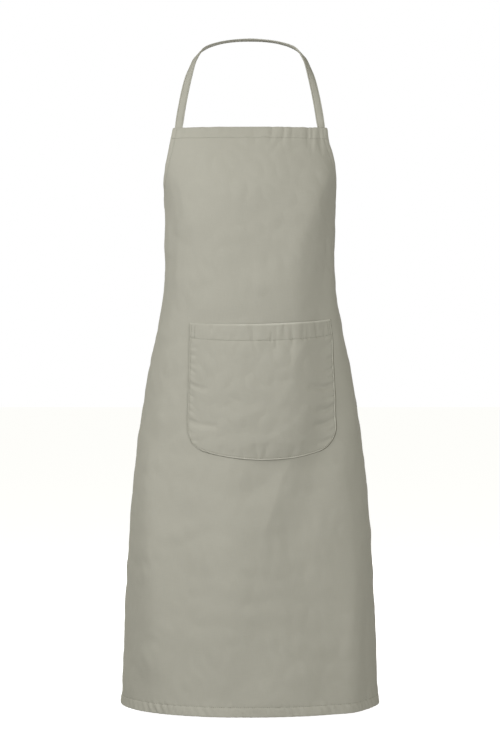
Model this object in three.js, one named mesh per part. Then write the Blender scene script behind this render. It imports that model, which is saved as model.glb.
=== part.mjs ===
// Kitchen apron in its worn form: bib and skirt in one cloth, patch pocket, neck strap, waist ties.
// Millimetres, +Z up, the front faces -Y. The origin is the inner face of the neck strap at the nape.
// Drops are heights counted down from the origin; arcs run along the cloth from the front centre.
import * as THREE from 'three';
import { RoundedBoxGeometry } from 'three/addons/geometries/RoundedBoxGeometry.js';

// Walls and seams
const CLOTH_WALL = 1.2;
const HEM_WALL = 1.0;
const TAPE_WALL = 1.2;
const TAPE_WIDTH = 12;
const SEAM_GAP = 0.35;

// Heights of the main lines
const BIB_TOP = 155.8;
const TIE_CORNER = 372;
const HEM_LINE = 1026;

// Hem bands
const BIB_HEM = 17;
const BOTTOM_HEM = 15;
const EDGE_HEM = 10;

// Grid of the panel
const PANEL_COLUMNS = 42;
const ARMHOLE_ROWS = 12;
const SKIRT_ROWS = 19;

// Worn form that the cloth wraps round, one row for each level section.
// front: y of the front line; halfWidth: widest x; frontDepth, backDepth: from the widest
// point to the front and to the back; square: power of the oval, 2 for an ellipse.
const FORM = [
  { drop: 140, front: -167, halfWidth: 170, frontDepth: 82, backDepth: 70, square: 2.2 },
  { drop: 157, front: -175, halfWidth: 165, frontDepth: 85, backDepth: 74, square: 2.2 },
  { drop: 200, front: -195, halfWidth: 149, frontDepth: 92, backDepth: 80, square: 2.25 },
  { drop: 230, front: -206, halfWidth: 138, frontDepth: 96, backDepth: 82, square: 2.3 },
  { drop: 255, front: -212, halfWidth: 131.5, frontDepth: 98, backDepth: 84, square: 2.3 },
  { drop: 310, front: -216, halfWidth: 129, frontDepth: 95, backDepth: 86, square: 2.3 },
  { drop: 362, front: -217, halfWidth: 128, frontDepth: 93, backDepth: 88, square: 2.3 },
  { drop: 400, front: -219, halfWidth: 130.5, frontDepth: 96, backDepth: 92, square: 2.3 },
  { drop: 437, front: -220, halfWidth: 136, frontDepth: 100, backDepth: 98, square: 2.3 },
  { drop: 510, front: -222, halfWidth: 151.5, frontDepth: 110, backDepth: 110, square: 2.25 },
  { drop: 583, front: -224, halfWidth: 164, frontDepth: 121, backDepth: 118, square: 2.2 },
  { drop: 680, front: -226, halfWidth: 177, frontDepth: 131, backDepth: 124, square: 2.15 },
  { drop: 803, front: -228, halfWidth: 186.5, frontDepth: 140, backDepth: 129, square: 2.15 },
  { drop: 914, front: -229, halfWidth: 192, frontDepth: 146, backDepth: 132, square: 2.15 },
  { drop: 1026, front: -230, halfWidth: 196, frontDepth: 150, backDepth: 134, square: 2.15 },
];

// Half the cloth's breadth along the arc, down the armhole and the side edge.
const CLOTH_EDGE = [
  { drop: 155.8, arc: 118.5 },
  { drop: 180, arc: 124.5 },
  { drop: 205, arc: 134.5 },
  { drop: 230, arc: 147 },
  { drop: 250, arc: 161.5 },
  { drop: 275, arc: 185 },
  { drop: 300, arc: 211 },
  { drop: 330, arc: 247 },
  { drop: 372, arc: 300 },
];
const SIDE_SPREAD = 10;

// Main folds, read by eye: a soft ridge or valley that runs from one drop and arc to another.
// half: half breadth of the fold; rise: height of the ridge, less than zero for a valley.
const FOLDS = [
  // ridge from the right armhole to the waist, its swell at the armhole, and the dent beside it
  { fromDrop: 180, toDrop: 450, fromArc: 120, toArc: 60, half: 35, rise: 5.5 },
  { fromDrop: 175, toDrop: 335, fromArc: 140, toArc: 80, half: 25, rise: 4 },
  { fromDrop: 240, toDrop: 565, fromArc: 140, toArc: 95, half: 25, rise: -4 },
  // low ridge at the left armhole
  { fromDrop: 190, toDrop: 385, fromArc: -160, toArc: -45, half: 25, rise: 1.5 },
  // dents at the two sides of the pocket
  { fromDrop: 385, toDrop: 765, fromArc: -85, toArc: -120, half: 40, rise: -4.5 },
  { fromDrop: 430, toDrop: 705, fromArc: 120, toArc: 100, half: 25, rise: -5 },
  // dents below the pocket, with the light streak between them
  { fromDrop: 625, toDrop: 720, fromArc: 45, toArc: 10, half: 40, rise: -3.5 },
  { fromDrop: 560, toDrop: 795, fromArc: 125, toArc: 65, half: 35, rise: -5 },
  { fromDrop: 675, toDrop: 985, fromArc: 60, toArc: 100, half: 35, rise: -3.5 },
  // ridges of the skirt: the middle, the left side and two at the right that run out past the hem
  { fromDrop: 650, toDrop: 1000, fromArc: -30, toArc: -30, half: 40, rise: 5 },
  { fromDrop: 620, toDrop: 1025, fromArc: -165, toArc: -145, half: 35, rise: 5.5 },
  { fromDrop: 565, toDrop: 1150, fromArc: 145, toArc: 170, half: 25, rise: 4 },
  { fromDrop: 675, toDrop: 1200, fromArc: 190, toArc: 140, half: 25, rise: 5 },
];

// Pocket in the plane of the laid-out cloth: arc to the right, drop downward.
const POCKET = {
  topLeft: { arc: -92, drop: 449 },
  topRight: { arc: 133.5, drop: 442.5 },
  topSag: 5.5,
  leftFoot: { arc: -96, drop: 600 },
  rightFoot: { arc: 137, drop: 600 },
  cornerRadius: 40,
  cornerSweep: 75,
  hem: 22,
  belly: 11,
};
const POCKET_COLUMNS = 22;
const POCKET_ROWS = 16;

// Neck strap from above the bib's edge to the nape, for the +X side.
// out, back and up: direction that the strap's outer face looks in.
const STRAP = [
  { x: 105.3, y: -147, z: -145, out: 0.12, back: -0.93, up: 0.35 },
  { x: 102.8, y: -138.5, z: -126.5, out: 0.14, back: -0.89, up: 0.43 },
  { x: 98.6, y: -127, z: -101.5, out: 0.2, back: -0.8, up: 0.57 },
  { x: 93.2, y: -113, z: -75.6, out: 0.33, back: -0.65, up: 0.69 },
  { x: 87.2, y: -98, z: -54.8, out: 0.44, back: -0.45, up: 0.78 },
  { x: 81.9, y: -83, z: -40.8, out: 0.5, back: -0.2, up: 0.84 },
  { x: 75.6, y: -67, z: -30, out: 0.42, back: -0.02, up: 0.91 },
  { x: 68.4, y: -52, z: -21.2, out: 0.33, back: 0.07, up: 0.94 },
  { x: 56.1, y: -35, z: -13, out: 0.2, back: 0.12, up: 0.97 },
  { x: 37.7, y: -16, z: -5.5, out: 0.1, back: 0.16, up: 0.98 },
  { x: 19, y: -4, z: -1.4, out: 0.03, back: 0.18, up: 0.98 },
];
const NAPE = { out: 0, back: 0.18, up: 0.98 };
const STRAP_TUCK = 17;
const STRAP_ARC = 110.6;
const STRAP_LEAN = 0.19;
const STRAP_STEPS = 104;

// Waist ties, knot and free ends
const TIE_DROP = 382;
const TIE_TUCK = 28;
const KNOT = { width: 26, depth: 16, height: 24, corner: 6 };
const END_LENGTH = 430;
const END_SPLAY = 26;
const END_START = 6;

const CLOTH_COLOUR = new THREE.Color(0.42, 0.405, 0.34);
const TAPE_COLOUR = new THREE.Color(0.44, 0.43, 0.37);

// Smooth reading of a table at a drop between its rows.
function tableCurve(table, columns) {
  const drops = table.map((row) => row.drop);
  const values = table.flatMap((row) => columns.map((name) => row[name]));
  return new THREE.CubicInterpolant(drops, values, columns.length);
}

const formCurve = tableCurve(FORM, ['front', 'halfWidth', 'frontDepth', 'backDepth', 'square']);
const edgeCurve = tableCurve(CLOTH_EDGE, ['arc']);

// Half of a level section, from the front centre round the +X side to the back centre.
class HalfSection extends THREE.Curve {
  constructor(drop) {
    super();
    const [front, halfWidth, frontDepth, backDepth, square] = formCurve.evaluate(drop);
    this.drop = drop;
    this.front = front;
    this.halfWidth = halfWidth;
    this.frontDepth = frontDepth;
    this.backDepth = backDepth;
    this.power = 2 / square;
  }

  getPoint(t, target = new THREE.Vector3()) {
    const angle = t * Math.PI;
    const inward = Math.abs(Math.cos(angle)) ** this.power;
    const depth = t < 0.5 ? this.frontDepth * (1 - inward) : this.frontDepth + this.backDepth * inward;
    return target.set(this.halfWidth * Math.sin(angle) ** this.power, this.front + depth, -this.drop);
  }
}

const sections = new Map();

function sectionAt(drop) {
  const key = drop.toFixed(3);
  if (!sections.has(key)) {
    sections.set(key, new HalfSection(drop));
  }
  return sections.get(key);
}

// Point of the bare form at an arc from the front centre, and the way it faces there.
function formPoint(arc, drop) {
  const section = sectionAt(drop);
  const point = section.getPointAt(Math.abs(arc) / section.getLength());
  point.x *= Math.sign(arc);
  return point;
}

function formFacing(arc, drop) {
  const reach = 2;
  const across = formPoint(arc + reach, drop).sub(formPoint(arc - reach, drop));
  const upward = formPoint(arc, drop - reach).sub(formPoint(arc, drop + reach));
  return across.cross(upward).normalize();
}

// Height of all the folds at one place of the cloth.
function foldRise(arc, drop) {
  let rise = 0;
  for (const fold of FOLDS) {
    const share = (drop - fold.fromDrop) / (fold.toDrop - fold.fromDrop);
    const centre = THREE.MathUtils.lerp(fold.fromArc, fold.toArc, share);
    const swell = Math.sin(Math.PI * THREE.MathUtils.clamp(share, 0, 1));
    rise += fold.rise * swell * Math.exp(-(((arc - centre) / fold.half) ** 2));
  }
  return rise;
}

// Point at a height above the outer face of the laid cloth; less than zero is inside it.
function clothPoint(arc, drop, above) {
  const height = foldRise(arc, drop) + above;
  return formPoint(arc, drop).addScaledVector(formFacing(arc, drop), height);
}

// Creases every cell of the outer and inner faces along its shorter diagonal.
function creaseShortWay(sheet) {
  const corners = sheet.getAttribute('position');
  const order = sheet.getIndex();
  const apart = (p, q) => new THREE.Vector3().fromBufferAttribute(corners, p)
    .distanceTo(new THREE.Vector3().fromBufferAttribute(corners, q));
  for (const face of sheet.groups.slice(4)) {
    for (let i = face.start; i < face.start + face.count; i += 6) {
      const [a, b, d] = [0, 1, 2].map((k) => order.getX(i + k));
      const c = order.getX(i + 4);
      if (apart(a, c) < apart(b, d)) {
        [a, b, c, a, c, d].forEach((corner, k) => order.setX(i + k, corner));
      }
    }
  }
}

// Flat sheet with a grid of creases, each corner of the grid laid where place() says.
// across and down run from 0 to 1; through is 0 on the outer face and 1 on the inner face.
function clothSheet(columns, rows, place) {
  const sheet = new THREE.BoxGeometry(1, 1, 1, columns, rows, 1);
  const corners = sheet.getAttribute('position');
  for (let i = 0; i < corners.count; i += 1) {
    const across = corners.getX(i) + 0.5;
    const down = 0.5 - corners.getY(i);
    const through = 0.5 - corners.getZ(i);
    const point = place(across, down, through);
    corners.setXYZ(i, point.x, point.y, point.z);
  }
  creaseShortWay(sheet);
  sheet.computeVertexNormals();
  return sheet;
}

// Flat tape along a curve; facing gives the look of its outer face along the same curve.
function tapeSheet(path, facing, steps) {
  return clothSheet(1, steps, (across, down, through) => {
    const run = path.getTangent(down);
    const outer = facing.getPoint(down);
    outer.addScaledVector(run, -outer.dot(run)).normalize();
    const side = outer.clone().cross(run);
    const point = path.getPoint(down);
    point.addScaledVector(side, (across - 0.5) * TAPE_WIDTH);
    return point.addScaledVector(outer, (1 - through) * TAPE_WALL);
  });
}

// Grid lines of the panel: drops down the rows, arcs across the columns with a hem band each side.
const rowDrops = [BIB_TOP];
for (let i = 0; i <= ARMHOLE_ROWS; i += 1) {
  rowDrops.push(THREE.MathUtils.lerp(BIB_TOP + BIB_HEM, TIE_CORNER, i / ARMHOLE_ROWS));
}
for (let i = 1; i <= SKIRT_ROWS; i += 1) {
  rowDrops.push(THREE.MathUtils.lerp(TIE_CORNER, HEM_LINE - BOTTOM_HEM, i / SKIRT_ROWS));
}
rowDrops.push(HEM_LINE);
const TIE_ROW = ARMHOLE_ROWS + 1;
const LAST_ROW = rowDrops.length - 1;

function edgeArc(drop) {
  if (drop <= TIE_CORNER) {
    return edgeCurve.evaluate(drop)[0];
  }
  const corner = CLOTH_EDGE[CLOTH_EDGE.length - 1].arc;
  return corner + SIDE_SPREAD * ((drop - TIE_CORNER) / (HEM_LINE - TIE_CORNER));
}

function columnArc(column, drop) {
  const edge = edgeArc(drop);
  if (column === 0) {
    return -edge;
  }
  if (column === PANEL_COLUMNS) {
    return edge;
  }
  const share = (column - 1) / (PANEL_COLUMNS - 2);
  return THREE.MathUtils.lerp(EDGE_HEM - edge, edge - EDGE_HEM, share);
}

// Part of the panel's grid as a sheet, its outer face at a height above the cloth's outer face.
function panelSheet(columns, rows, above, wall, trimTop, trimFoot) {
  const columnCount = columns.to - columns.from;
  const rowCount = rows.to - rows.from;
  return clothSheet(columnCount, rowCount, (across, down, through) => {
    const column = columns.from + Math.round(across * columnCount);
    const row = rows.from + Math.round(down * rowCount);
    const trim = (row === rows.from ? trimTop : 0) - (row === rows.to ? trimFoot : 0);
    const drop = rowDrops[row] + trim;
    return clothPoint(columnArc(column, drop), drop, above - through * wall);
  });
}

const HEM_ABOVE = -CLOTH_WALL - SEAM_GAP;
const TAPE_ABOVE = HEM_ABOVE - HEM_WALL - SEAM_GAP - TAPE_WALL;
const allColumns = { from: 0, to: PANEL_COLUMNS };
const leftBand = { from: 0, to: 1 };
const rightBand = { from: PANEL_COLUMNS - 1, to: PANEL_COLUMNS };
const armholeRows = { from: 1, to: TIE_ROW };
const sideRows = { from: TIE_ROW, to: LAST_ROW - 1 };

function hemSheet(columns, rows, trimTop, trimFoot) {
  return panelSheet(columns, rows, HEM_ABOVE, HEM_WALL, trimTop, trimFoot);
}

// Pocket outline as four sides that meet at the top corners and in the middle of the round feet.
const flat = (place) => new THREE.Vector2(place.arc, -place.drop);

function pocketSides() {
  const radius = POCKET.cornerRadius;
  const sweep = THREE.MathUtils.degToRad(POCKET.cornerSweep);
  const topLeft = flat(POCKET.topLeft);
  const topRight = flat(POCKET.topRight);
  const leftFoot = flat(POCKET.leftFoot);
  const rightFoot = flat(POCKET.rightFoot);
  const sag = topLeft.clone().add(topRight).multiplyScalar(0.5);
  sag.y -= 2 * POCKET.topSag;
  const leftX = leftFoot.x + radius;
  const rightX = rightFoot.x - radius;
  const leftRound = (from, to) => new THREE.EllipseCurve(leftX, leftFoot.y, radius, radius,
    Math.PI + from * sweep, Math.PI + to * sweep, false);
  const rightRound = (from, to) => new THREE.EllipseCurve(rightX, rightFoot.y, radius, radius,
    -from * sweep, -to * sweep, from < to);
  const footLeft = leftRound(0.5, 1).getPoint(1);
  const footRight = rightRound(0.5, 1).getPoint(1);
  const slope = Math.tan(Math.PI / 2 - sweep);
  const foot = footLeft.clone().add(footRight).multiplyScalar(0.5);
  foot.y -= slope * (footRight.x - footLeft.x) / 2;

  const left = new THREE.CurvePath();
  left.add(new THREE.LineCurve(topLeft, leftFoot));
  left.add(leftRound(0, 0.5));
  const right = new THREE.CurvePath();
  right.add(new THREE.LineCurve(topRight, rightFoot));
  right.add(rightRound(0, 0.5));
  const bottom = new THREE.CurvePath();
  bottom.add(leftRound(0.5, 1));
  bottom.add(new THREE.QuadraticBezierCurve(footLeft, foot, footRight));
  bottom.add(rightRound(1, 0.5));
  return { top: new THREE.QuadraticBezierCurve(topLeft, sag, topRight), bottom, left, right };
}

const pocketOutline = pocketSides();

// Place inside the outline, blended from its four sides.
function pocketPlace(across, down) {
  const { top, bottom, left, right } = pocketOutline;
  const place = top.getPoint(across).multiplyScalar(1 - down);
  place.addScaledVector(bottom.getPoint(across), down);
  place.addScaledVector(left.getPoint(down), 1 - across);
  place.addScaledVector(right.getPoint(down), across);
  place.addScaledVector(top.getPoint(0), -(1 - across) * (1 - down));
  place.addScaledVector(top.getPoint(1), -across * (1 - down));
  place.addScaledVector(bottom.getPoint(0), -(1 - across) * down);
  return place.addScaledVector(bottom.getPoint(1), -across * down);
}

// Rows of the pocket: the first band is the mouth hem.
const POCKET_HEM_SHARE = POCKET.hem / pocketOutline.left.getLength();

function pocketDown(row) {
  if (row === 0) {
    return 0;
  }
  return THREE.MathUtils.lerp(POCKET_HEM_SHARE, 1, (row - 1) / (POCKET_ROWS - 1));
}

// Stand-off of the pocket's inner face: slack at the mouth, sewn down at the sides and foot.
function pocketStand(across, down) {
  const slack = POCKET.belly * Math.sin(Math.PI * across) ** 0.8 * (1 - down ** 2.4);
  const mouth = 1 - THREE.MathUtils.smoothstep(down, POCKET_HEM_SHARE * 1.1, POCKET_HEM_SHARE * 2.4);
  return SEAM_GAP * 1.2 + (HEM_WALL + 1.4 * SEAM_GAP) * mouth + slack;
}

function pocketSheet(rowCount, lift, wall, inset) {
  return clothSheet(POCKET_COLUMNS, rowCount, (across, down, through) => {
    const acrossIn = THREE.MathUtils.lerp(inset, 1 - inset, across);
    const downIn = pocketDown(Math.round(down * rowCount));
    const place = pocketPlace(acrossIn, downIn);
    const above = pocketStand(acrossIn, downIn) + lift + (1 - through) * wall;
    return clothPoint(place.x, -place.y, above);
  });
}

// Neck strap: sewn inside the bib's corners, up the chest and round the nape in one loop.
function strapStations() {
  const stations = [];
  for (const below of [STRAP_TUCK, 8, 0]) {
    const arc = STRAP_ARC + below * STRAP_LEAN;
    const drop = BIB_TOP + below;
    stations.push({ at: clothPoint(arc, drop, TAPE_ABOVE), facing: formFacing(arc, drop) });
  }
  for (const row of STRAP) {
    const at = new THREE.Vector3(row.x, row.y, row.z);
    stations.push({ at, facing: new THREE.Vector3(row.out, row.back, row.up) });
  }
  return stations;
}

function neckStrap() {
  const half = strapStations();
  const mirror = (vector) => new THREE.Vector3(-vector.x, vector.y, vector.z);
  const places = half.map((station) => mirror(station.at));
  const looks = half.map((station) => mirror(station.facing));
  places.push(new THREE.Vector3(0, 0, 0));
  looks.push(new THREE.Vector3(NAPE.out, NAPE.back, NAPE.up));
  for (const station of half.reverse()) {
    places.push(station.at);
    looks.push(station.facing);
  }
  const path = new THREE.CatmullRomCurve3(places);
  return tapeSheet(path, new THREE.CatmullRomCurve3(looks), STRAP_STEPS);
}

// Waist ties: sewn inside the waist corners and led round the back to the knot.
const tieSection = sectionAt(TIE_DROP);
const backCentre = tieSection.getPoint(1);

function waistTie(side) {
  const from = edgeArc(TIE_DROP) - TIE_TUCK;
  const to = tieSection.getLength() - KNOT.width / 2 - SEAM_GAP;
  const places = [];
  const looks = [];
  const stops = 9;
  for (let i = 0; i <= stops; i += 1) {
    const arc = side * THREE.MathUtils.lerp(from, to, i / stops);
    places.push(formPoint(arc, TIE_DROP).addScaledVector(formFacing(arc, TIE_DROP), TAPE_ABOVE));
    looks.push(formFacing(arc, TIE_DROP));
  }
  return tapeSheet(new THREE.CatmullRomCurve3(places), new THREE.CatmullRomCurve3(looks), 2 * stops);
}

function waistKnot() {
  const knot = new RoundedBoxGeometry(KNOT.width, KNOT.depth, KNOT.height, 4, KNOT.corner);
  return knot.translate(0, backCentre.y + TAPE_ABOVE, -TIE_DROP);
}

function tieEnd(side) {
  const places = [];
  const looks = [];
  const stops = 10;
  const top = TIE_DROP + KNOT.height / 2 + SEAM_GAP;
  for (let i = 0; i <= stops; i += 1) {
    const drop = top + END_LENGTH * (i / stops);
    const back = sectionAt(drop).getPoint(1);
    const spread = END_START + END_SPLAY * (i / stops) ** 1.5;
    places.push(new THREE.Vector3(side * spread, back.y + TAPE_ABOVE + 2, -drop));
    looks.push(new THREE.Vector3(0, 1, 0));
  }
  return tapeSheet(new THREE.CatmullRomCurve3(places), new THREE.CatmullRomCurve3(looks), 2 * stops);
}

const apron = new THREE.Group();
apron.name = 'kitchen_apron';

function addPiece(name, geometry, color) {
  const material = new THREE.MeshStandardMaterial({ color, roughness: 0.9, metalness: 0 });
  const piece = new THREE.Mesh(geometry, material);
  piece.name = name;
  apron.add(piece);
}

const wholeRows = { from: 0, to: LAST_ROW };
addPiece('front_panel', panelSheet(allColumns, wholeRows, 0, CLOTH_WALL, 0, 0), CLOTH_COLOUR);
addPiece('bib_hem', hemSheet(allColumns, { from: 0, to: 1 }, 0, SEAM_GAP), CLOTH_COLOUR);
addPiece('armhole_hem_left', hemSheet(leftBand, armholeRows, 0, SEAM_GAP), CLOTH_COLOUR);
addPiece('armhole_hem_right', hemSheet(rightBand, armholeRows, 0, SEAM_GAP), CLOTH_COLOUR);
addPiece('side_hem_left', hemSheet(leftBand, sideRows, 0, SEAM_GAP), CLOTH_COLOUR);
addPiece('side_hem_right', hemSheet(rightBand, sideRows, 0, SEAM_GAP), CLOTH_COLOUR);
addPiece('bottom_hem', hemSheet(allColumns, { from: LAST_ROW - 1, to: LAST_ROW }, 0, 0), CLOTH_COLOUR);
addPiece('pocket', pocketSheet(POCKET_ROWS, 0, CLOTH_WALL, 0), CLOTH_COLOUR);
addPiece('pocket_hem', pocketSheet(1, -SEAM_GAP - HEM_WALL, HEM_WALL, 0.006), CLOTH_COLOUR);
addPiece('neck_strap', neckStrap(), TAPE_COLOUR);
addPiece('waist_tie_left', waistTie(-1), TAPE_COLOUR);
addPiece('waist_tie_right', waistTie(1), TAPE_COLOUR);
addPiece('waist_knot', waistKnot(), TAPE_COLOUR);
addPiece('tie_end_left', tieEnd(-1), TAPE_COLOUR);
addPiece('tie_end_right', tieEnd(1), TAPE_COLOUR);

export default apron;
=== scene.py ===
# %% [markdown]
# # A kitchen apron, dressed in Blender
# The solids of the apron come in as a fixed frame. This lesson lays real cloth over them: one panel with
# turned hems, a patch pocket, folded tape for the neck strap and the ties, and thread along every seam.
# Sizes in the tables are millimetres and are turned into metres when a mesh is made.

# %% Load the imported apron
import math

import bmesh
import bpy
import numpy as np
from mathutils import Matrix, Vector


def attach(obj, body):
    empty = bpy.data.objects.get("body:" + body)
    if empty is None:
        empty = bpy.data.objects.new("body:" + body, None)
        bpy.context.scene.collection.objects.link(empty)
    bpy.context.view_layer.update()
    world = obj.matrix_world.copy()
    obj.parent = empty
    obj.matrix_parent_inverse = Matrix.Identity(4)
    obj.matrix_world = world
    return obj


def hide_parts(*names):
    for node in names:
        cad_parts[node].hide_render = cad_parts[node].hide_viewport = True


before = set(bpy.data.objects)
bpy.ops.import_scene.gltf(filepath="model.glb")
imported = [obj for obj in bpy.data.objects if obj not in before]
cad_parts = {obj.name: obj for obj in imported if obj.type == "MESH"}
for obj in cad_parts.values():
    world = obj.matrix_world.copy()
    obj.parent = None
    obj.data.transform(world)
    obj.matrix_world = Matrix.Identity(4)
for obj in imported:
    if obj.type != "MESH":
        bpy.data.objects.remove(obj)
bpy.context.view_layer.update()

MM = 0.001
print("solids:", sorted(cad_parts))

# %% [markdown]
# ## The worn form
# Cloth has no shape of its own: the bib lies on a chest, the waist is drawn in by the ties and the skirt
# falls from the hips. A scan or a simulation could give that form. A table of level sections is easier to
# read and to change: each row is an oval, and the rows are joined smoothly from the bib down to the hem.
# A drop is a height counted down from the nape, and an arc runs along the cloth from the front centre.

# %% Sections of the worn form
# drop, y of the front line, half width, depth to the front, depth to the back, power of the oval
FORM = np.array([
    (140, -167, 170.0, 82, 70, 2.20),
    (157, -175, 165.0, 85, 74, 2.20),
    (200, -195, 149.0, 92, 80, 2.25),
    (230, -206, 138.0, 96, 82, 2.30),
    (255, -212, 131.5, 98, 84, 2.30),
    (310, -216, 129.0, 95, 86, 2.30),
    (362, -217, 128.0, 93, 88, 2.30),
    (400, -219, 130.5, 96, 92, 2.30),
    (437, -220, 136.0, 100, 98, 2.30),
    (510, -222, 151.5, 110, 110, 2.25),
    (583, -224, 164.0, 121, 118, 2.20),
    (680, -226, 177.0, 131, 124, 2.15),
    (803, -228, 186.5, 140, 129, 2.15),
    (914, -229, 192.0, 146, 132, 2.15),
    (1026, -230, 196.0, 150, 134, 2.15),
], dtype=float)


def read_table(table, drop):
    """Every column of a table, read smoothly at the drops asked for."""
    at, values = table[:, 0], table[:, 1:]
    slope = np.diff(values, axis=0) / np.diff(at)[:, None]
    lean = np.vstack([slope[:1], (slope[1:] + slope[:-1]) / 2, slope[-1:]])
    i = np.clip(np.searchsorted(at, drop) - 1, 0, len(at) - 2)
    step = (at[i + 1] - at[i])[:, None]
    p = np.clip((drop - at[i])[:, None] / step, 0, 1)
    rise = values[i] * (1 + 2 * p) * (1 - p) ** 2 + values[i + 1] * p * p * (3 - 2 * p)
    return rise + step * p * (1 - p) * (lean[i] * (1 - p) - lean[i + 1] * p)


def run_of(points):
    """Length run along a line of points, from its first point."""
    return np.concatenate([[0], np.cumsum(np.linalg.norm(np.diff(points, axis=0), axis=1))])


LEVELS = np.arange(140.0, 1028.0, 2.0)
REACH = np.arange(0.0, 420.0, 1.0)


def section_line(front, half_width, front_depth, back_depth, square):
    """x and y along half an oval, at every arc of REACH from the front centre, and half its girth."""
    angle = np.linspace(0, math.pi, 721)
    inward = np.abs(np.cos(angle)) ** (2 / square)
    x = half_width * np.sin(angle).clip(0) ** (2 / square)
    depth = np.where(angle <= math.pi / 2, front_depth * (1 - inward), front_depth + back_depth * inward)
    run = run_of(np.stack([x, depth], axis=1))
    return np.interp(REACH, run, x), front + np.interp(REACH, run, depth), run[-1]


lines = [section_line(*row) for row in read_table(FORM, LEVELS)]
FORM_X = np.array([line[0] for line in lines])
FORM_Y = np.array([line[1] for line in lines])
print("form:", FORM_X.shape, "widest", FORM_X.max().round(1), "mm each side")

# %% Points and facings on the form


def form_point(arc, drop):
    """Points of the form in millimetres, at arcs from the front centre and drops from the nape."""
    arc, drop = np.broadcast_arrays(np.asarray(arc, float), np.asarray(drop, float))
    row = np.clip((drop - LEVELS[0]) / (LEVELS[1] - LEVELS[0]), 0, len(LEVELS) - 1.001)
    col = np.clip(np.abs(arc), 0, REACH[-1] - 0.001)
    j, i = row.astype(int), col.astype(int)
    t, s = row - j, col - i

    def between(grid):
        upper = grid[j, i] * (1 - s) + grid[j, i + 1] * s
        lower = grid[j + 1, i] * (1 - s) + grid[j + 1, i + 1] * s
        return upper * (1 - t) + lower * t

    return np.stack([np.sign(arc) * between(FORM_X), between(FORM_Y), -drop], axis=-1)


def form_facing(arc, drop):
    """Directions that the form looks in, pointing away from the wearer."""
    reach = 3.0
    low, high = np.maximum(drop - reach, LEVELS[0]), np.minimum(drop + reach, LEVELS[-1])
    across = form_point(arc + reach, drop) - form_point(arc - reach, drop)
    upward = form_point(arc, low) - form_point(arc, high)
    facing = np.cross(across, upward)
    return facing / np.linalg.norm(facing, axis=-1, keepdims=True)


print("front centre at the waist:", form_point(0, 372).round(1))

# %% [markdown]
# ## Folds
# Cloth that hangs from two corners and a waist does not lie smooth: a long ridge runs from the right armhole
# to the waist, the skirt breaks into broad ridges at the hips, and small ripples fan out below the strap.
# A simulation gives folds, but not these folds. Here each fold is a row in a table, a ridge or a valley with
# its own line, breadth and height, so that one of them can be moved without touching the others. The broad
# rows are the folds that the solids have, most of them a little deeper here. The fine rows are mostly the
# puckers that the bib's hem and the strap draw into the cloth. The creased rows break sharply along a crest.

# %% Fold tables
BIB_TOP, TIE_CORNER, HEM_LINE = 155.8, 372.0, 1026.0
# from drop, to drop, from arc, to arc, half breadth, rise
BROAD_FOLDS = [
    # ridge from the right armhole to the waist, its swell at the armhole, and the dent beside it
    (180, 450, 120, 60, 35, 5.5),
    (175, 335, 140, 80, 25, 3.5),
    (240, 565, 140, 95, 25, -4.5),
    # low ridge at the left armhole
    (190, 385, -160, -45, 25, 1.5),
    # dents at the two sides of the pocket
    (385, 765, -85, -120, 40, -5.0),
    (430, 705, 120, 100, 25, -6.0),
    # dents below the pocket, with the light streak between them
    (625, 720, 45, 10, 40, -4.5),
    (560, 795, 125, 65, 35, -7.0),
    (675, 985, 60, 100, 35, -4.5),
    # ridges of the skirt: the middle, the left side and two at the right that run out past the hem
    (650, 1000, -30, -30, 40, 7.0),
    (620, 1025, -165, -145, 35, 7.0),
    (565, 1150, 145, 170, 25, 4.0),
    (675, 1200, 190, 140, 25, 5.0),
]
FINE_FOLDS = [
    # right side of the bib, in its hem
    (140, 188, 35, 30, 2.8, -0.8),
    (140, 188, 42, 38, 3.0, 0.2),
    (140, 188, 53, 48, 2.6, -0.9),
    (140, 188, 58, 55, 2.4, 0.3),
    (142, 186, 64, 62, 2.4, -0.6),
    (140, 188, 79, 78, 4.0, 0.4),
    (138, 192, 88, 87, 2.6, -1.3),
    (140, 190, 95, 94, 2.2, -0.9),
    (140, 190, 100, 100, 3.0, 0.3),
    (140, 190, 106, 106.5, 2.6, -1.0),
    # right side of the bib, below its hem
    (170, 206, 51, 25, 5.0, -1.1),
    (180, 198, 84, 54, 8.0, -0.9),
    (168, 200, 91, 93, 2.6, -0.7),
    (168, 200, 99, 100, 3.0, 0.2),
    (168, 202, 107, 110, 2.6, -0.8),
    # left side of the bib
    (138, 186, -40, -40, 3.0, -0.2),
    (138, 186, -72, -71, 3.5, 0.25),
    (138, 190, -98, -97, 2.4, -0.3),
    (138, 190, -104, -103, 2.6, 0.4),
    # left side of the waist, the foot, and the panel beside the pocket's lower right corner
    (240, 400, -130, -150, 8, 0.7),
    (950, 1040, -60, -66, 9, 0.5),
    (500, 690, 172, 172, 24, 2.5),
]
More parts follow.
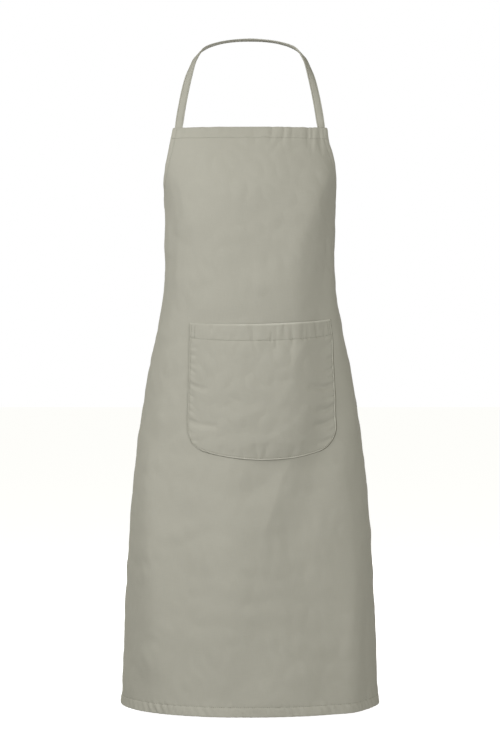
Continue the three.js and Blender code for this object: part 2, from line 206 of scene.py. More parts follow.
# rise, reach to the left and to the right of the crest, and the crest as drops and arcs
CRESTS = [
    # right armhole and waist
    (3.0, 25, 10, [(205, 135), (225, 120), (245, 112), (270, 100), (290, 103), (310, 100)]),
    (2.0, 60, 12, [(300, 82), (330, 76), (355, 72), (400, 74), (425, 76), (450, 85)]),
    # left side of the chest, down to the waist
    (1.5, 8, 60, [(215, -124), (235, -115), (270, -105), (305, -115), (420, -115)]),
    # light streak below the pocket and the break beside it
    (1.0, 6, 5, [(630, 76), (680, 48), (715, 36), (760, 20), (780, 8)]),
    (0.5, 60, 15, [(655, 92), (695, 85), (730, 70), (760, 60)]),
    # two sides of the skirt
    (1.5, 15, 10, [(620, 155), (660, 150), (735, 160), (855, 163), (920, 155), (995, 160)]),
    (1.0, 12, 60, [(560, -162), (605, -172), (685, -167), (760, -162), (830, -148), (905, -147),
                   (980, -154)]),
    # short dent above the foot, and the drawn-in armhole edges
    (-1.5, 15, 20, [(935, 104), (960, 108), (1000, 105), (1024, 102)]),
    (-0.5, 5, 25, [(120, 118), (156, 120), (180, 126), (205, 136), (236, 150)]),
    (-1.0, 25, 55, [(260, -150), (290, -138), (320, -128), (350, -122)]),
]
CREST_ROUND, CREST_FADE = 2.2, 0.22


def folds(arc, drop):
    """Height of the broad and the fine folds, in millimetres."""
    rise = np.zeros(np.broadcast(arc, drop).shape)
    for start, end, from_arc, to_arc, half, height in BROAD_FOLDS + FINE_FOLDS:
        share = (drop - start) / (end - start)
        centre = from_arc + (to_arc - from_arc) * share
        swell = np.sin(math.pi * np.clip(share, 0, 1))
        rise += height * swell * np.exp(-(((arc - centre) / half) ** 2))
    return rise


def crests(table, arc, drop):
    """Height of creased folds: each falls away from its crest and fades out at its two ends."""
    rise = np.zeros(arc.shape)
    for height, left_reach, right_reach, line in table:
        line = np.array(line, float)
        off = arc - read_table(line, drop.ravel())[:, 0].reshape(arc.shape)
        share = (drop - line[0, 0]) / (line[-1, 0] - line[0, 0])
        swell = np.clip(np.minimum(share, 1 - share) / CREST_FADE, 0, 1)
        away = np.sqrt(off ** 2 + CREST_ROUND ** 2) - CREST_ROUND
        fall = np.exp(-away / np.where(off < 0, left_reach, right_reach))
        rise += height * swell * swell * (3 - 2 * swell) * fall
    return rise


arcs, drops = np.meshgrid(np.arange(-250, 251, 5.0), np.arange(157, 1026, 5.0))
height = folds(arcs, drops) + crests(CRESTS, arcs, drops)
print("folds from", height.min().round(1), "to", height.max().round(1), "mm")

# %% Cloth outline
# drop and half the cloth's breadth along the arc, down the armhole
ARMHOLE = np.array([
    (155.8, 118.5), (180, 124.5), (205, 134.5), (230, 147.0), (250, 161.5),
    (275, 185.0), (300, 211.0), (330, 247.0), (372, 300.0),
], dtype=float)
SIDE_SPREAD = 10.0


def cloth_edge(drop):
    """Half breadth of the panel at each drop: the armhole, then the straight side of the skirt."""
    drop = np.asarray(drop, float)
    level = np.atleast_1d(drop).ravel()
    curve = read_table(ARMHOLE, np.minimum(level, TIE_CORNER))[:, 0]
    side = SIDE_SPREAD * np.clip((level - TIE_CORNER) / (HEM_LINE - TIE_CORNER), 0, 1)
    return (curve + side).reshape(drop.shape)


print("half breadth at bib, waist and hem:", cloth_edge(np.array([BIB_TOP, TIE_CORNER, HEM_LINE])))

# %% [markdown]
# ## Sewn hems
# A hem never lies as flat as the cloth beside it. Its thread is tighter than the cloth, so the band ropes in
# slanted puckers, the stitch line sinks into a groove, and the folded edge stands a little proud. These are
# waves and bands with fixed seeds, laid along the distance from each edge.

# %% Roping, grooves and the whole drape
BIB_SEAM, FOOT_SEAM, EDGE_SEAM = 17.0, 14.2, 8.0
SEAM_DEPTH, SEAM_HALF = 0.32, 0.7
# the strap is sewn in behind the bib's hem, where it shows as a low patch
STRAP_ARC, STRAP_LEAN, STRAP_TUCK = 110.6, 0.19, 17.0
PATCH_HALF, PATCH_RISE, PATCH_SIDE_EASE, PATCH_END_EASE = 7.0, 0.5, 1.6, 1.5
# crumple that the cloth keeps from being folded away
CRUMPLE_DEPTH, CRUMPLE_SIZE, CRUMPLE_STRETCH = 2.8, 110, 1.25
# the right strap draws the bib smooth below it
TAUT_ARC, TAUT_WIDE, TAUT_DROP, TAUT_DEEP, TAUT_SHARE = 75.0, 45.0, 195.0, 40.0, 0.8
# the armhole's hem holds the folds down at the edge
HELD_WIDE, HELD_DROP, HELD_DEEP, HELD_SHARE = 24, 222, 30, 0.6
# swell of each hem's band, and the depth and pitch of its roping
FOOT_PROUD, FOOT_ROPE, FOOT_PITCH = 0.15, 2.0, 12
BIB_PROUD, BIB_ROPE, BIB_PITCH = 0.15, 0.12, 15
SIDE_PROUD, SIDE_ROPE, SIDE_PITCH = 0.2, 0.28, 17
# the foot hem's lowest edge stands out a little
FOOT_KICK = 1.5


def waves(x, y, size, seed, count=7):
    """Gentle unevenness between -1 and 1, with lumps of about the size given."""
    rng = np.random.default_rng(seed)
    total = 0.0
    for turn, phase, pace in zip(rng.uniform(0, 2 * math.pi, count), rng.uniform(0, 2 * math.pi, count),
                                 rng.uniform(0.6, 1.4, count)):
        total = total + np.sin((x * math.cos(turn) + y * math.sin(turn)) * 2 * math.pi * pace / size + phase)
    return total / count


def crumple(x, y, size, seed):
    """Shallow facets with soft ridges between them, as cloth keeps from being folded away."""
    broad, small = waves(x, y, size, seed), waves(x, y, size * 0.45, seed + 1)
    return np.sqrt(broad ** 2 + 0.003) + 0.5 * np.sqrt(small ** 2 + 0.003) - 0.34


def roping(run, inset, seam, pitch, seed):
    """Puckers of a sewn band: slanted waves along it that fade out beyond its stitches."""
    beat = 0.6 + 0.7 * waves(run, 0 * run, 80, seed)
    ripple = np.sin(2 * math.pi * (run + 0.6 * inset) / pitch + 3.0 * waves(run, 0 * run, 55, seed + 1))
    return ripple * beat * np.exp(-(((inset - seam * 0.55) / (seam * 0.75)) ** 2))


def sewn_band(inset, seam, proud):
    """Groove of a stitch line and the soft swell of the folded band outside it."""
    groove = -SEAM_DEPTH * np.exp(-(((inset - seam) / SEAM_HALF) ** 2))
    return groove + proud * np.sin(math.pi * np.clip(inset / seam, 0, 1)) ** 0.7


def drape(arc, drop):
    """Height of the laid cloth over the form, in millimetres."""
    arc, drop = np.broadcast_arrays(np.asarray(arc, float), np.asarray(drop, float))
    foot, bib, side = HEM_LINE - drop, drop - BIB_TOP, cloth_edge(drop) - np.abs(arc)
    taut = np.exp(-(((arc - TAUT_ARC) / TAUT_WIDE) ** 2 + ((drop - TAUT_DROP) / TAUT_DEEP) ** 2))
    crushed = CRUMPLE_DEPTH * crumple(arc, drop * CRUMPLE_STRETCH, CRUMPLE_SIZE, 3) * (1 - TAUT_SHARE * taut)
    loose = folds(arc, drop) + crests(CRESTS, arc, drop) + crushed
    held = np.clip(1 - side / HELD_WIDE, 0, 1) * np.exp(-(((drop - HELD_DROP) / HELD_DEEP) ** 2))
    lie = loose * (1 - HELD_SHARE * held)
    lie = lie + sewn_band(foot, FOOT_SEAM, FOOT_PROUD)
    lie = lie + FOOT_ROPE * roping(arc, foot, FOOT_SEAM, FOOT_PITCH, 11)
    lie = lie + sewn_band(bib, BIB_SEAM, BIB_PROUD)
    lie = lie + BIB_ROPE * roping(arc, bib, BIB_SEAM, BIB_PITCH, 12)
    lie = lie + sewn_band(side, EDGE_SEAM, SIDE_PROUD)
    lie = lie + SIDE_ROPE * roping(drop, side, EDGE_SEAM, SIDE_PITCH, 13)
    off_strap = np.abs(np.abs(arc) - STRAP_ARC - STRAP_LEAN * bib)
    beside = np.clip((PATCH_HALF - off_strap) / PATCH_SIDE_EASE, 0, 1)
    above_end = np.clip((STRAP_TUCK + 1 - bib) / PATCH_END_EASE, 0, 1)
    lie = lie + PATCH_RISE * beside * above_end
    return lie + FOOT_KICK * np.clip(1 - foot / FOOT_SEAM, 0, 1)


def cloth_point(arc, drop, above=0.0):
    """Points above the outer face of the laid cloth, in millimetres."""
    lift = np.asarray(drape(arc, drop) + above)
    return form_point(arc, drop) + form_facing(arc, drop) * lift[..., None]


print("drape at the hem:", drape(np.arange(-60, 61, 20.0), 1018.0).round(2))

# %% [markdown]
# ## Sheets from grids
# A sheet of cloth starts flat, so it starts here as a grid. Every corner of the grid is then moved to its
# place on the wearer, and the place it had in the flat cloth is kept as a UV map, so that a weave follows
# the cloth through every fold. A Solidify modifier gives the wall its thickness. A turned edge is part of
# the same grid: its outer rows run round a small fold and back along the inside.

# %% Turned edges and grid sheets
CLOTH_WALL = 0.6


def turned_edge(seam, turn, radius, face_lines):
    """Grid lines of a hem from its raw end to its face: distance from the fold, and lift over the face."""
    inside = np.linspace(turn, radius, 5)[:-1]
    angle = np.linspace(math.pi, 0, 6)
    face = np.linspace(radius, seam - 1.3, face_lines)[1:]
    face = np.concatenate([face, seam + np.array([-0.6, 0, 0.6, 1.5])])
    inset = np.concatenate([inside, radius - radius * np.sin(angle), face])
    lift = np.concatenate([0 * inside - 2 * radius, radius * np.cos(angle) - radius, 0 * face])
    return inset, lift


def lay_sheet(name, points, flat, wall, painted_light=None):
    """A grid whose corners lie at points[row, column], with flat[row, column] as its UV map, in millimetres.
    The last argument, at each row and column, says how much painted light makes the cloth paler there."""
    rows, columns = points.shape[0] - 1, points.shape[1] - 1
    bm = bmesh.new()
    bmesh.ops.create_grid(bm, x_segments=columns, y_segments=rows, size=1.0)
    mesh = bpy.data.meshes.new(name)
    bm.to_mesh(mesh)
    bm.free()
    corner = np.empty(len(mesh.vertices) * 3)
    mesh.vertices.foreach_get("co", corner)
    corner = corner.reshape(-1, 3)
    i = np.rint((corner[:, 0] + 1) / 2 * columns).astype(int)
    j = np.rint((1 - corner[:, 1]) / 2 * rows).astype(int)
    mesh.vertices.foreach_set("co", (points[j, i] * MM).ravel())
    owner = np.empty(len(mesh.loops), dtype=int)
    mesh.loops.foreach_get("vertex_index", owner)
    layer = mesh.uv_layers.new(name="cloth")
    layer.data.foreach_set("uv", (flat[j, i] * MM)[owner].ravel())
    if painted_light is not None:
        # the mask of painted light is stored on the mesh for the weave group
        mesh.attributes.new("painted_light", "FLOAT", "POINT").data.foreach_set("value", painted_light[j, i].astype(np.float32))
    mesh.polygons.foreach_set("use_smooth", np.ones(len(mesh.polygons), dtype=bool))
    mesh.update()
    sheet = bpy.data.objects.new(name, mesh)
    bpy.context.scene.collection.objects.link(sheet)
    if wall:
        thick = sheet.modifiers.new("wall", "SOLIDIFY")
        thick.thickness = wall * MM
        thick.offset = -1.0
    print(name, "grid", rows, "by", columns)
    return sheet


# %% [markdown]
# ## The panel
# Bib and skirt are one cloth, hemmed all round: a wide turned hem at the bib and at the foot, a narrow one
# down the armholes and the sides. Modelling the hems as separate strips would leave a slit along every edge,
# so the grid runs on past the edge and turns under. The side hems are folded first and tighter, so that the
# hems at the bib and the foot close over them.

# %% Panel with its hems
SIDE_FOLD, END_FOLD = 0.65, 1.05
side_inset, side_lift = turned_edge(EDGE_SEAM, EDGE_SEAM + 1, SIDE_FOLD, 4)
top_inset, top_lift = turned_edge(BIB_SEAM, BIB_SEAM + 1, END_FOLD, 6)
foot_inset, foot_lift = turned_edge(FOOT_SEAM, FOOT_SEAM + 1, END_FOLD, 7)
band = side_inset[-1]

share = np.linspace(-1, 1, 170)[1:-1]
column_share = np.concatenate([0 * side_inset - 1, share, 0 * side_inset + 1])
column_extra = np.concatenate([side_inset - band, 0 * share, (band - side_inset)[::-1]])
column_lift = np.concatenate([side_lift, 0 * share, side_lift[::-1]])

armhole_drops = np.linspace(BIB_TOP + top_inset[-1], TIE_CORNER, 60)[1:]
skirt_drops = np.linspace(TIE_CORNER, HEM_LINE - foot_inset[-1], 132)[1:-1]
row_drop = np.concatenate([BIB_TOP + top_inset, armhole_drops, skirt_drops, (HEM_LINE - foot_inset)[::-1]])
row_lift = np.concatenate([top_lift, 0 * armhole_drops, 0 * skirt_drops, foot_lift[::-1]])

panel_arc = column_share * (cloth_edge(row_drop)[:, None] - band) + column_extra
panel_drop = np.repeat(row_drop[:, None], panel_arc.shape[1], axis=1)
panel_flat = np.stack([panel_arc, -panel_drop], axis=-1)
panel_points = cloth_point(panel_arc, panel_drop, row_lift[:, None] + column_lift[None, :])
apron_panel = lay_sheet("apron_panel", panel_points, panel_flat, CLOTH_WALL)
cut = 2 * cloth_edge(np.arange(BIB_TOP, HEM_LINE)).sum() * MM * MM
print("panel covers about", round(cut, 3), "square metres")

# %% [markdown]
# ## The pocket
# A wide patch with round lower corners, sewn down on three sides. Its mouth is hemmed and hangs a little
# slack. The outline is four sides, and the grid is blended between them, so that the rows follow the mouth
# at the top and the round foot below. The edge rows turn under, as a pressed patch does before it is sewn.

# %% Pocket outline
TOP_LEFT, TOP_RIGHT = np.array([-92.0, -449.0]), np.array([133.5, -442.5])
LEFT_FOOT, RIGHT_FOOT = np.array([-96.0, -600.0]), np.array([137.0, -600.0])
TOP_SAG, CORNER_RADIUS, CORNER_SWEEP = 5.5, 40.0, math.radians(75)


def corner_round(centre, start, end):
    """Points along one round lower corner."""
    angle = np.linspace(start, end, 25)
    return centre + CORNER_RADIUS * np.stack([np.cos(angle), np.sin(angle)], axis=1)


def bowed(start, middle, end):
    """Points along a bowed edge that leaves towards the middle point and arrives from it."""
    t = np.linspace(0, 1, 61)[:, None]
    return start * (1 - t) ** 2 + middle * 2 * t * (1 - t) + end * t * t


left_centre = LEFT_FOOT + (CORNER_RADIUS, 0)
right_centre = RIGHT_FOOT - (CORNER_RADIUS, 0)
half_sweep = CORNER_SWEEP / 2
foot_left = corner_round(left_centre, math.pi, math.pi + CORNER_SWEEP)[-1]
foot_right = corner_round(right_centre, 0, -CORNER_SWEEP)[-1]
foot_middle = (foot_left + foot_right) / 2
foot_middle[1] -= (foot_right[0] - foot_left[0]) / 2 / math.tan(CORNER_SWEEP)
top_middle = (TOP_LEFT + TOP_RIGHT) / 2 - (0, 2 * TOP_SAG)
SIDES = {
    "top": bowed(TOP_LEFT, top_middle, TOP_RIGHT),
    "left": np.vstack([TOP_LEFT, corner_round(left_centre, math.pi, math.pi + half_sweep)]),
    "right": np.vstack([TOP_RIGHT, corner_round(right_centre, 0, -half_sweep)]),
    "foot": np.vstack([corner_round(left_centre, math.pi + half_sweep, math.pi + CORNER_SWEEP),
                       bowed(foot_left, foot_middle, foot_right)[1:-1],
                       corner_round(right_centre, -CORNER_SWEEP, -half_sweep)]),
}


def along(side, share):
    """Points at shares of a side's length."""
    line = SIDES[side]
    run = run_of(line)
    return np.stack([np.interp(share * run[-1], run, line[:, k]) for k in (0, 1)], axis=-1)


def pocket_place(u, v):
    """Flat places (arc, height) inside the outline, blended from its four sides."""
    u, v = np.broadcast_arrays(np.asarray(u, float), np.asarray(v, float))
    a, d = u[..., None], v[..., None]
    blend = along("top", u) * (1 - d) + along("foot", u) * d
    blend = blend + along("left", v) * (1 - a) + along("right", v) * a
    upper = TOP_LEFT * (1 - a) + TOP_RIGHT * a
    lower = SIDES["foot"][0] * (1 - a) + SIDES["foot"][-1] * a
    return blend - upper * (1 - d) - lower * d


POCKET_WIDE, POCKET_DEEP = run_of(SIDES["top"])[-1], run_of(SIDES["left"])[-1]
print("pocket", POCKET_WIDE.round(1), "mm wide,", POCKET_DEEP.round(1), "mm down its left side")

# %% [markdown]
# The pocket is the most handled part of an apron, so it is the least smooth. Its seam draws the edge into
# short puckers, longer creases run in from the sides, and the mouth stands slack off the panel. The creases
# are rows in a table again, each a short line across the patch.

# %% Lie of the pocket
POCKET_SEAM, MOUTH_SEAM, CORNER_BOX = 2.8, 21.5, 6.5
BELLY, BELLY_LEAN = 8.5, 1.3
STAND_OFF, POCKET_CRUMPLE, CREASE_DEPTH = 1.6, 1.1, 1.4
MOUTH_PROUD, MOUTH_ROPE, MOUTH_PITCH = 0.25, 0.2, 14
# depth of the puckers down the left side, down the right side and along the foot, and their reach inwards
LEFT_PUCKER, RIGHT_PUCKER, FOOT_PUCKER, PUCKER_REACH = 1.0, 1.8, 0.8, 7
# lowest lie of the patch over the panel, and how softly a crease comes to rest on it
LOWEST_LIE, LIE_EASE = 0.9, 0.4
# from u, from v, to u, to v, half breadth in mm, rise in mm; u runs across the patch and v down it
CREASES = [
    # left side
    (0.00, 0.20, 0.05, 0.20, 1.8, -0.8),
    (0.00, 0.26, 0.05, 0.26, 1.8, -0.9),
    (0.00, 0.33, 0.05, 0.33, 2.0, -1.0),
    (0.00, 0.38, 0.05, 0.39, 1.8, -0.8),
    (0.00, 0.50, 0.13, 0.50, 2.6, -1.5),
    (0.00, 0.59, 0.05, 0.59, 1.8, -0.9),
    (0.00, 0.66, 0.04, 0.65, 1.6, -0.7),
    (0.00, 0.72, 0.05, 0.71, 1.8, -0.9),
    (0.00, 0.80, 0.20, 0.77, 2.8, -1.6),
    (0.00, 0.90, 0.06, 0.87, 2.0, -0.9),
    (0.01, 0.97, 0.08, 0.91, 2.0, -0.9),
    # right side
    (1.00, 0.18, 0.90, 0.22, 4.0, -1.6),
    (1.00, 0.31, 0.95, 0.31, 2.0, -1.5),
    (1.00, 0.39, 0.93, 0.39, 2.0, -1.5),
    (1.00, 0.45, 0.95, 0.45, 1.8, -1.5),
    (1.00, 0.53, 0.80, 0.49, 3.2, -3.2),
    (1.00, 0.62, 0.91, 0.59, 2.4, -1.2),
    (1.00, 0.70, 0.86, 0.67, 3.0, -2.6),
    (1.00, 0.80, 0.84, 0.78, 3.0, -2.6),
    (1.00, 0.88, 0.94, 0.86, 2.0, -0.9),
    (0.99, 0.95, 0.87, 0.92, 2.8, -2.2),
    # foot
    (0.22, 0.99, 0.24, 0.93, 2.2, -0.7),
    (0.30, 1.00, 0.31, 0.95, 2.0, -0.7),
    (0.37, 1.00, 0.37, 0.93, 2.2, -1.0),
    (0.46, 1.00, 0.45, 0.90, 2.4, -1.1),
    (0.50, 1.00, 0.51, 0.93, 2.0, -0.8),
    (0.59, 1.00, 0.59, 0.95, 2.0, -0.6),
    (0.68, 1.00, 0.68, 0.93, 2.2, -0.8),
    (0.77, 1.00, 0.75, 0.90, 2.6, -1.1),
    # mouth
    (0.16, 0.01, 0.16, 0.11, 2.2, -0.7),
    (0.43, 0.11, 0.42, 0.02, 3.0, -1.2),
    (0.44, 0.13, 0.45, 0.20, 2.6, -0.8),
    (0.54, 0.12, 0.55, 0.05, 2.0, -0.8),
    (0.57, 0.17, 0.57, 0.03, 2.0, -0.8),
    (0.67, 0.12, 0.67, 0.05, 2.0, -1.0),
    (0.68, 0.13, 0.66, 0.20, 2.6, -0.7),
    (0.62, 0.02, 0.62, 0.10, 2.2, -0.8),
    (0.74, 0.12, 0.75, 0.02, 2.6, -1.5),
    (0.78, 0.12, 0.78, 0.03, 2.2, -1.3),
    (0.86, 0.11, 0.85, 0.00, 2.6, -2.0),
    (0.93, 0.12, 0.93, 0.04, 2.2, -1.2),
]
# creased folds of the patch, as in the panel's table
POCKET_CRESTS = [
    (1.5, 15, 20, [(457, 114), (480, 82), (508, 64), (535, 66), (556, 68)]),
    (1.0, 15, 40, [(540, 83), (560, 94), (583, 78), (610, 47), (634, 12)]),
    (0.75, 10, 15, [(470, 112), (500, 112), (540, 110), (580, 104), (605, 96)]),
]


def creases(u, v):
    """Height of the pocket's creases, each fading out along its line."""
    rise = np.zeros(u.shape)
    for from_u, from_v, to_u, to_v, half, height in CREASES:
        start = np.array([from_u * POCKET_WIDE, from_v * POCKET_DEEP])
        line = np.array([to_u * POCKET_WIDE, to_v * POCKET_DEEP]) - start
        place = np.stack([u * POCKET_WIDE, v * POCKET_DEEP], axis=-1) - start
        share = np.clip(place @ line / (line @ line), 0, 1)
        off = np.linalg.norm(place - share[..., None] * line, axis=-1)
        rise += height * (1 - 0.5 * share) * np.exp(-((off / (half * (1 + 0.6 * share))) ** 2))
    return rise


def pucker(run, inset, pitch, reach, seed):
    """Bulges between the narrow valleys that a seam draws into the cloth, slanting inwards from it."""
    beat = 0.7 + 0.9 * waves(run, 0 * run, 60, seed)
    swing = math.pi * (run - 0.3 * inset) / pitch + 1.6 * waves(run, 0 * run, 42, seed + 1)
    return (np.abs(np.sin(swing)) ** 0.7 - 0.6) * beat * np.exp(-inset / reach)


def pocket_lie(u, v):
    """Height of the pocket's face over the panel, in millimetres."""
    u, v = np.clip(u, 0, 1), np.clip(v, 0, 1)
    across, down = u * POCKET_WIDE, v * POCKET_DEEP
    left, right, foot = across, POCKET_WIDE - across, POCKET_DEEP - down
    near = np.minimum(np.minimum(left, right), foot)
    sewn = np.clip(near / POCKET_SEAM, 0, 1)
    slack = BELLY * np.sin(math.pi * u ** BELLY_LEAN) ** 0.8 * (1 - v ** 2.4)
    seam = -0.3 * np.exp(-(((near - POCKET_SEAM) / 0.7) ** 2)) + 0.3 * np.exp(-(((near - 1.0) / 0.9) ** 2))
    drawn = LEFT_PUCKER * pucker(down, left, 10.5, PUCKER_REACH, 21)
    drawn = drawn + RIGHT_PUCKER * pucker(down, right, 10.0, PUCKER_REACH, 23)
    drawn = (drawn + FOOT_PUCKER * pucker(across, foot, 12.0, PUCKER_REACH, 25)) * sewn
    mouth = sewn_band(down, MOUTH_SEAM, MOUTH_PROUD)
    mouth = mouth + MOUTH_ROPE * roping(across, down, MOUTH_SEAM, MOUTH_PITCH, 27)
    place = pocket_place(u, v)
    creased = crests(POCKET_CRESTS, place[..., 0], -place[..., 1])
    loose = (POCKET_CRUMPLE * crumple(across, down, 80, 29) + creased) * np.clip(near / 25, 0, 1)
    over = STAND_OFF + slack + seam + drawn + mouth + CREASE_DEPTH * creases(u, v) * sewn + loose - LOWEST_LIE
    return LOWEST_LIE + (over + np.sqrt(over ** 2 + LIE_EASE ** 2)) / 2


# %% Pocket sheet
POCKET_FOLD, MOUTH_FOLD, POCKET_WALL = 0.55, 0.7, 0.45
# breadth of the painted highlight along the pocket's edge
PAINTED_HIGHLIGHT_WIDE = 1.3
edge_inset, edge_lift = turned_edge(POCKET_SEAM, 8.0, POCKET_FOLD, 3)
mouth_inset, mouth_lift = turned_edge(MOUTH_SEAM, MOUTH_SEAM + 1, MOUTH_FOLD, 11)
main_u = np.linspace(edge_inset[-1] / POCKET_WIDE, 1 - edge_inset[-1] / POCKET_WIDE, 150)[1:-1]
main_v = np.linspace(mouth_inset[-1] / POCKET_DEEP, 1 - edge_inset[-1] / POCKET_DEEP, 100)[1:-1]
pocket_u = np.concatenate([edge_inset / POCKET_WIDE, main_u, 1 - edge_inset[::-1] / POCKET_WIDE])
pocket_v = np.concatenate([mouth_inset / POCKET_DEEP, main_v, 1 - edge_inset[::-1] / POCKET_DEEP])
u_lift = np.concatenate([edge_lift, 0 * main_u, edge_lift[::-1]])
v_lift = np.concatenate([mouth_lift, 0 * main_v, edge_lift[::-1]])
u_grid, v_grid = np.meshgrid(pocket_u, pocket_v)
pocket_flat = pocket_place(u_grid, v_grid)
pocket_above = pocket_lie(u_grid, v_grid) + np.minimum(u_lift[None, :], v_lift[:, None])
pocket_points = cloth_point(pocket_flat[..., 0], -pocket_flat[..., 1], pocket_above)
# painted highlight: a pale line along the pocket's right side, foot and mouth, fainter towards the left
edge_near = np.minimum((1 - u_grid) * POCKET_WIDE, (1 - v_grid) * POCKET_DEEP)
edge_near = np.minimum(edge_near, v_grid * POCKET_DEEP + 0.3)
pocket_painted_highlight = np.exp(-((edge_near / PAINTED_HIGHLIGHT_WIDE) ** 2)) * np.clip(u_grid * 1.6, 0.25, 1)
apron_pocket = lay_sheet("apron_pocket", pocket_points, pocket_flat, POCKET_WALL, pocket_painted_highlight)

# %% [markdown]
# The patch stands off the panel by its own thickness, and a thin line of shade lies beside its edge. A narrow
# dark strip that follows the outline paints that shade in. It lies hidden on the left, shows a little below
# the foot, and reaches furthest out on the right, where the standing edge of the patch would cover it.

# %% Painted shade strip beside the pocket's edge
STRIP_WIDE, STRIP_WALL = 2.6, 0.2
# how far the strip is tucked in on the left, and how far it shows below the foot and on the right
TUCKED_IN, SHOWN_BELOW, SHOWN_RIGHT = 0.2, 0.6, 2.1
# lift of the strip's four lines over the panel, and how much more it has on the right
STRIP_LIFT, RIGHT_LIFT = np.array([0.25, 0.35, 0.3, 0.1]), np.array([0.0, 0.3, 0.5, 0.6])
outline = np.vstack([SIDES["left"], SIDES["foot"][1:], SIDES["right"][::-1][1:]])
outline_run = run_of(outline)
spots = np.linspace(0, outline_run[-1], 260)
outline = np.stack([np.interp(spots, outline_run, outline[:, k]) for k in (0, 1)], axis=1)
tangent = np.gradient(outline, axis=0)
tangent /= np.linalg.norm(tangent, axis=1, keepdims=True)
outward = np.stack([tangent[:, 1], -tangent[:, 0]], axis=1)
rightward = np.clip(outward[:, 0], 0, 1)
shown = -TUCKED_IN + SHOWN_BELOW * np.clip(-outward[:, 1], 0, 1) + SHOWN_RIGHT * rightward
reach = np.stack([np.minimum(shown - STRIP_WIDE, -1.0), shown - 1.5, shown - 0.5, shown], axis=1)
strip_flat = outline[:, None] + outward[:, None] * reach[..., None]
strip_lift = STRIP_LIFT + RIGHT_LIFT * rightward[:, None]
strip_points = cloth_point(strip_flat[..., 0], -strip_flat[..., 1], strip_lift)
# the strip is dark: painted shade beside the pocket's edge
pocket_shade_strip = lay_sheet("pocket_shade_strip", strip_points, strip_flat, STRIP_WALL)

# %% [markdown]
# ## Folded tape
# The strap and the ties are one long strip of the apron's own cloth, folded and edge-stitched flat. A curve
# with a flat profile would twist where it likes, so the tape is a narrow grid too, and a table says where it
# runs and which way its outer face looks: out at the chest, up on the shoulder, up and back at the nape.

# %% Tape along a route
TAPE_WIDTH, TAPE_WALL, TAPE_SEAM = 12.4, 1.3, 1.8
TURN_BULK, TURN_HALF = 0.9, 9
# half length of the stretch at the nape whose inner face is made paler by painted light
PAINTED_NAPE_HALF = 60.0


def smooth_route(places, steps):
    """A soft curve through places, steps points for each stretch."""
    slope = np.gradient(places, axis=0)
    t = np.linspace(0, 1, steps, endpoint=False)[:, None]
    parts = []
    for a, b, lean_a, lean_b in zip(places[:-1], places[1:], slope[:-1], slope[1:]):
        parts.append(a * (1 + 2 * t) * (1 - t) ** 2 + lean_a * t * (1 - t) ** 2
                     + b * t * t * (3 - 2 * t) - lean_b * t * t * (1 - t))
    return np.vstack(parts + [places[-1:]])


def tape_profile():
    """Section of the folded tape, closed: places across it and heights in shares of its wall."""
    half = TAPE_WIDTH / 2
    rounded = [(half - 0.5, 0), (half - 0.12, 0.2), (half, 0.5), (half - 0.12, 0.8), (half - 0.5, 1.0)]
    seam = half - TAPE_SEAM
    top = [(seam + 0.5, 1.02), (seam, 0.78), (seam - 0.5, 1.02), (1.8, 1.06)]
    right = np.array(rounded + top)
    left = right[::-1] * (-1, 1)
    return np.vstack([right, left, right[:1]])


def lay_tape(name, places, looks, steps=6, turn_at=None):
    """A folded tape laid along a route of its inner face, with closed ends. Where turn_at is given, it bulks
    up at that distance from the middle plane, and its inner face at the nape is made paler by painted light."""
    route = smooth_route(places, steps)
    run = np.gradient(route, axis=0)
    run /= np.linalg.norm(run, axis=1, keepdims=True)
    looks = smooth_route(looks, steps)
    outer = looks - run * np.sum(looks * run, axis=1, keepdims=True)
    outer /= np.linalg.norm(outer, axis=1, keepdims=True)
    side = np.cross(outer, run)
    section = tape_profile()
    length = run_of(route)
    ripple = 1 + 0.05 * waves(length, 0 * length, 30, len(name))
    painted_pale = None
    if turn_at is not None:
        # painted light: the inner face at the nape is made paler, as if lit from below
        painted_pale = np.exp(-((route[:, :1] / PAINTED_NAPE_HALF) ** 2)) * (section[None, :, 1] == 0)
        ripple = ripple + TURN_BULK * np.exp(-(((np.abs(route[:, 0]) - turn_at) / TURN_HALF) ** 2))
    points = route[:, None] + side[:, None] * section[None, :, :1]
    points = points + outer[:, None] * (section[None, :, 1:] * TAPE_WALL * ripple[:, None, None])
    flat = np.stack(np.broadcast_arrays(run_of(section)[None, :], -length[:, None]), axis=-1)
    tape = lay_sheet(name, points, flat, 0, painted_pale)
    bm = bmesh.new()
    bm.from_mesh(tape.data)
    bmesh.ops.remove_doubles(bm, verts=bm.verts, dist=1e-6)
    bmesh.ops.holes_fill(bm, edges=[e for e in bm.edges if e.is_boundary], sides=0)
    bmesh.ops.recalc_face_normals(bm, faces=bm.faces)
    bm.to_mesh(tape.data)
    bm.free()
    print(name, "length", round(length[-1]), "mm")
    return {"piece": tape, "route": route, "outer": outer, "side": side, "length": length[-1]}


# %% Neck strap
# x, y, z and the look of the outer face (out, back, up), from above the bib's edge to the nape
STRAP = np.array([
    (105.3, -147, -145.0, 0.12, -0.93, 0.35),
    (102.8, -138.5, -126.5, 0.14, -0.89, 0.43),
    (98.6, -127, -101.5, 0.20, -0.80, 0.57),
    (93.2, -113, -75.6, 0.33, -0.65, 0.69),
    (87.2, -98, -54.8, 0.65, -0.45, 0.60),
    (81.9, -83, -40.8, 0.70, -0.30, 0.70),
    (75.6, -67, -30.0, 0.75, -0.10, 0.65),
    (68.4, -52, -21.2, 0.70, 0.00, 0.75),
    (56.1, -35, -13.0, 0.50, 0.05, 0.85),
    (37.7, -16, -5.5, 0.35, 0.05, 0.95),
    (19.0, -4, -1.4, 0.20, 0.10, 0.95),
], dtype=float)
NAPE_LOOK = (0, 0.18, 0.98)
SHOULDER_TURN = 77
TUCK_ABOVE = -5.0
